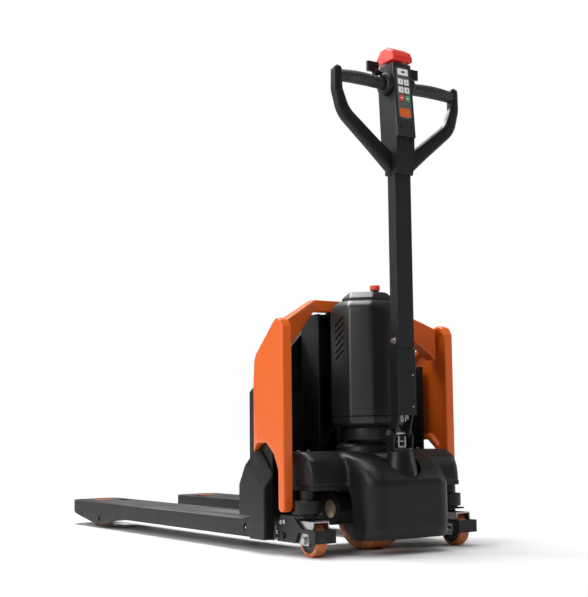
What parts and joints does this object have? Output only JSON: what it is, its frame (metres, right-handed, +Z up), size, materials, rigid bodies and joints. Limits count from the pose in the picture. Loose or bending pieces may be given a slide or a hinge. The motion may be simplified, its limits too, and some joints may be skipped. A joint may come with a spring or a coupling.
{
  "type": "electric pallet truck",
  "caption": "Pedestrian electric pallet truck: two low lifting forks, painted side panels, central battery tower and a steering tiller with a looped handle.",
  "frame": {"origin": "on the floor, at the middle of the truck's bounding box", "axes": "+X the operator's right, +Y towards the fork tips, +Z up"},
  "size_m": [0.55, 1.52, 1.26],
  "materials": {
    "orange_paint": "gloss powder coat",
    "black_paint": "satin powder coat",
    "fork_paint": "satin powder coat, worn along the edges",
    "black_moulding": "fine grained moulding",
    "tower_plastic": "satin moulding",
    "grip_rubber": "matt grip rubber",
    "zinc": "bright zinc plate",
    "steel": "oiled steel",
    "castor_black": "satin black pressing",
    "polyurethane": "cast polyurethane tread",
    "hub_black": "black hub",
    "cast_grey": "dark cast housing",
    "motor_black": "black motor paint",
    "chrome_ram": "hard chrome",
    "battery_case": "moulded battery case",
    "hydraulic_paint": "painted pump and tank",
    "red_button": "gloss red moulding",
    "knob_red": "ribbed red knob",
    "white_key": "white keycap",
    "red_key": "red keycap",
    "green_key": "green keycap",
    "panel_grey": "grey front panel"
  },
  "bodies": {
    "root": {"base_frame": "black_paint", "steering_case": "black_moulding", "steering_chain": "steel", "tower_ring": "black_paint", "tower_bottom_cap": "tower_plastic", "tower_shell": "tower_plastic", "tower_top_cap": "tower_plastic", "battery_pack": "battery_case", "hydraulic_unit": "hydraulic_paint", "lower_cover": "black_moulding", "cover_screws": "zinc", "lift_cylinder": "black_paint", "castor_heads": "castor_black"},
    "knob": {"emergency_knob": "knob_red"},
    "tiller_base": {"tiller_yoke": "black_paint", "tiller_shaft": "steel", "yoke_fittings": "zinc"},
    "drive_unit": {"drive_gearbox": "cast_grey", "drive_motor": "motor_black"},
    "drive_wheel": {"drive_tyre": "polyurethane", "drive_hub": "hub_black"},
    "tiller": {"tiller_column": "black_paint", "tiller_foot_cover": "black_moulding", "tiller_fittings": "zinc", "head_housing": "black_moulding", "control_panel": "panel_grey", "handle_loops": "black_moulding", "grips": "grip_rubber"},
    "throttle": {"throttle": "black_moulding"},
    "belly_button": {"belly_button": "red_button"},
    "speed_button": {"speed_button": "white_key"},
    "key_1": {"key_1": "white_key"},
    "key_2": {"key_2": "white_key"},
    "key_3": {"key_3": "white_key"},
    "key_4": {"key_4": "white_key"},
    "stop_key": {"stop_key": "red_key"},
    "start_key": {"start_key": "green_key"},
    "lift_rocker": {"lift_rocker": "black_moulding"},
    "lift": {"lift_frame": "black_paint", "back_cover": "black_paint", "top_bar": "orange_paint", "lift_ram": "chrome_ram", "fork_left": "fork_paint", "fork_right": "fork_paint", "heel_cover_left": "black_moulding", "heel_cover_right": "black_moulding", "side_panel_left": "orange_paint", "side_panel_right": "orange_paint"},
    "rocker": {"rocker_shaft": "steel"},
    "push_rods": {"push_rods": "steel"},
    "load_arm_left": {"load_arm_left": "steel"},
    "load_wheel_left": {"load_wheel_left": "polyurethane"},
    "castor_left": {"castor_housing_left": "castor_black"},
    "castor_fork_left": {"castor_fork_left": "zinc"},
    "castor_wheel_left": {"castor_wheel_left": "polyurethane"},
    "load_arm_right": {"load_arm_right": "steel"},
    "load_wheel_right": {"load_wheel_right": "polyurethane"},
    "castor_right": {"castor_housing_right": "castor_black"},
    "castor_fork_right": {"castor_fork_right": "zinc"},
    "castor_wheel_right": {"castor_wheel_right": "polyurethane"}
  },
  "joints": [
    {"name": "knob_pull", "type": "slide", "parent": "root", "child": "knob", "axis": [0, 0, 1], "range_m": [0, 0.008]},
    {"name": "tiller_steer", "type": "hinge", "parent": "root", "child": "tiller_base", "pos_m": [0, -0.705, 0.25], "axis": [0, 0, 1], "range_deg": [-85, 85]},
    {"name": "drive_steer", "type": "hinge", "parent": "root", "child": "drive_unit", "pos_m": [0, -0.575, 0.2], "axis": [0, 0, 1], "range_deg": [-85, 85]},
    {"name": "drive_spin", "type": "hinge", "parent": "drive_unit", "child": "drive_wheel", "pos_m": [0, -0.575, 0.105], "axis": [1, 0, 0], "continuous": true},
    {"name": "tiller_tilt", "type": "hinge", "parent": "tiller_base", "child": "tiller", "pos_m": [0, -0.703, 0.29], "axis": [1, 0, 0], "range_deg": [0, 80], "stiffness_Nm_per_rad": 16, "springref_deg": -40.11},
    {"name": "throttle_turn", "type": "hinge", "parent": "tiller", "child": "throttle", "pos_m": [0, -0.706, 1.194], "axis": [1, 0, 0], "range_deg": [-30, 30], "stiffness_Nm_per_rad": 0.3},
    {"name": "belly_press", "type": "slide", "parent": "tiller", "child": "belly_button", "axis": [0, 0, -1], "range_m": [0, 0.005], "stiffness_N_per_m": 500, "springref_m": -0.01},
    {"name": "speed_press", "type": "slide", "parent": "tiller", "child": "speed_button", "axis": [0, 0.9965, -0.0839], "range_m": [0, 0.0012], "stiffness_N_per_m": 300, "springref_m": -0.0005},
    {"name": "key_1_press", "type": "slide", "parent": "tiller", "child": "key_1", "axis": [0, 0.9965, -0.0839], "range_m": [0, 0.0012], "stiffness_N_per_m": 300, "springref_m": -0.0005},
    {"name": "key_2_press", "type": "slide", "parent": "tiller", "child": "key_2", "axis": [0, 0.9965, -0.0839], "range_m": [0, 0.0012], "stiffness_N_per_m": 300, "springref_m": -0.0005},
    {"name": "key_3_press", "type": "slide", "parent": "tiller", "child": "key_3", "axis": [0, 0.9965, -0.0839], "range_m": [0, 0.0012], "stiffness_N_per_m": 300, "springref_m": -0.0005},
    {"name": "key_4_press", "type": "slide", "parent": "tiller", "child": "key_4", "axis": [0, 0.9965, -0.0839], "range_m": [0, 0.0012], "stiffness_N_per_m": 300, "springref_m": -0.0005},
    {"name": "stop_key_press", "type": "slide", "parent": "tiller", "child": "stop_key", "axis": [0, 0.9965, -0.0839], "range_m": [0, 0.0012], "stiffness_N_per_m": 300, "springref_m": -0.0005},
    {"name": "start_key_press", "type": "slide", "parent": "tiller", "child": "start_key", "axis": [0, 0.9965, -0.0839], "range_m": [0, 0.0012], "stiffness_N_per_m": 300, "springref_m": -0.0005},
    {"name": "lift_rocker_tilt", "type": "hinge", "parent": "tiller", "child": "lift_rocker", "pos_m": [0, -0.683, 1.135], "axis": [1, 0, 0], "range_deg": [-6, 6], "stiffness_Nm_per_rad": 0.1},
    {"name": "lift_raise", "type": "slide", "parent": "root", "child": "lift", "axis": [0, 0, 1], "range_m": [0, 0.115]},
    {"name": "rocker_turn", "type": "hinge", "parent": "lift", "child": "rocker", "pos_m": [0, -0.414, 0.06], "axis": [1, 0, 0], "range_deg": [0, 50.12]},
    {"name": "rod_push", "type": "slide", "parent": "lift", "child": "push_rods", "axis": [0, 1, 0], "range_m": [0, 0.02445]},
    {"name": "load_arm_left_swing", "type": "hinge", "parent": "lift", "child": "load_arm_left", "pos_m": [-0.1925, 0.523, 0.03], "axis": [-1, 0, 0], "range_deg": [0, 53.84]},
    {"name": "load_wheel_left_spin", "type": "hinge", "parent": "load_arm_left", "child": "load_wheel_left", "pos_m": [-0.1925, 0.66291, 0.035], "axis": [1, 0, 0], "continuous": true},
    {"name": "castor_left_swivel", "type": "hinge", "parent": "root", "child": "castor_left", "pos_m": [-0.22, -0.625, 0.1], "axis": [0, 0, 1], "continuous": true},
    {"name": "castor_left_spring", "type": "hinge", "parent": "castor_left", "child": "castor_fork_left", "pos_m": [-0.22, -0.562, 0.046], "axis": [1, 0, 0], "range_deg": [-4, 0], "stiffness_Nm_per_rad": 45, "springref_deg": 20.05},
    {"name": "castor_left_spin", "type": "hinge", "parent": "castor_fork_left", "child": "castor_wheel_left", "pos_m": [-0.22, -0.649, 0.04], "axis": [1, 0, 0], "continuous": true},
    {"name": "load_arm_right_swing", "type": "hinge", "parent": "lift", "child": "load_arm_right", "pos_m": [0.1925, 0.523, 0.03], "axis": [-1, 0, 0], "range_deg": [0, 53.84]},
    {"name": "load_wheel_right_spin", "type": "hinge", "parent": "load_arm_right", "child": "load_wheel_right", "pos_m": [0.1925, 0.66291, 0.035], "axis": [1, 0, 0], "continuous": true},
    {"name": "castor_right_swivel", "type": "hinge", "parent": "root", "child": "castor_right", "pos_m": [0.22, -0.625, 0.1], "axis": [0, 0, 1], "continuous": true},
    {"name": "castor_right_spring", "type": "hinge", "parent": "castor_right", "child": "castor_fork_right", "pos_m": [0.22, -0.562, 0.046], "axis": [1, 0, 0], "range_deg": [-4, 0], "stiffness_Nm_per_rad": 45, "springref_deg": 20.05},
    {"name": "castor_right_spin", "type": "hinge", "parent": "castor_fork_right", "child": "castor_wheel_right", "pos_m": [0.22, -0.649, 0.04], "axis": [1, 0, 0], "continuous": true}
  ],
  "couplings": [
    {"joint": "drive_steer", "follows": "tiller_steer", "ratio": 1},
    {"joint": "rocker_turn", "follows": "lift_raise", "rad_per_m": 7.6051},
    {"joint": "rod_push", "follows": "lift_raise", "ratio": 0.21257},
    {"joint": "load_arm_left_swing", "follows": "lift_raise", "rad_per_m": 8.1702},
    {"joint": "load_arm_right_swing", "follows": "lift_raise", "rad_per_m": 8.1702}
  ]
}
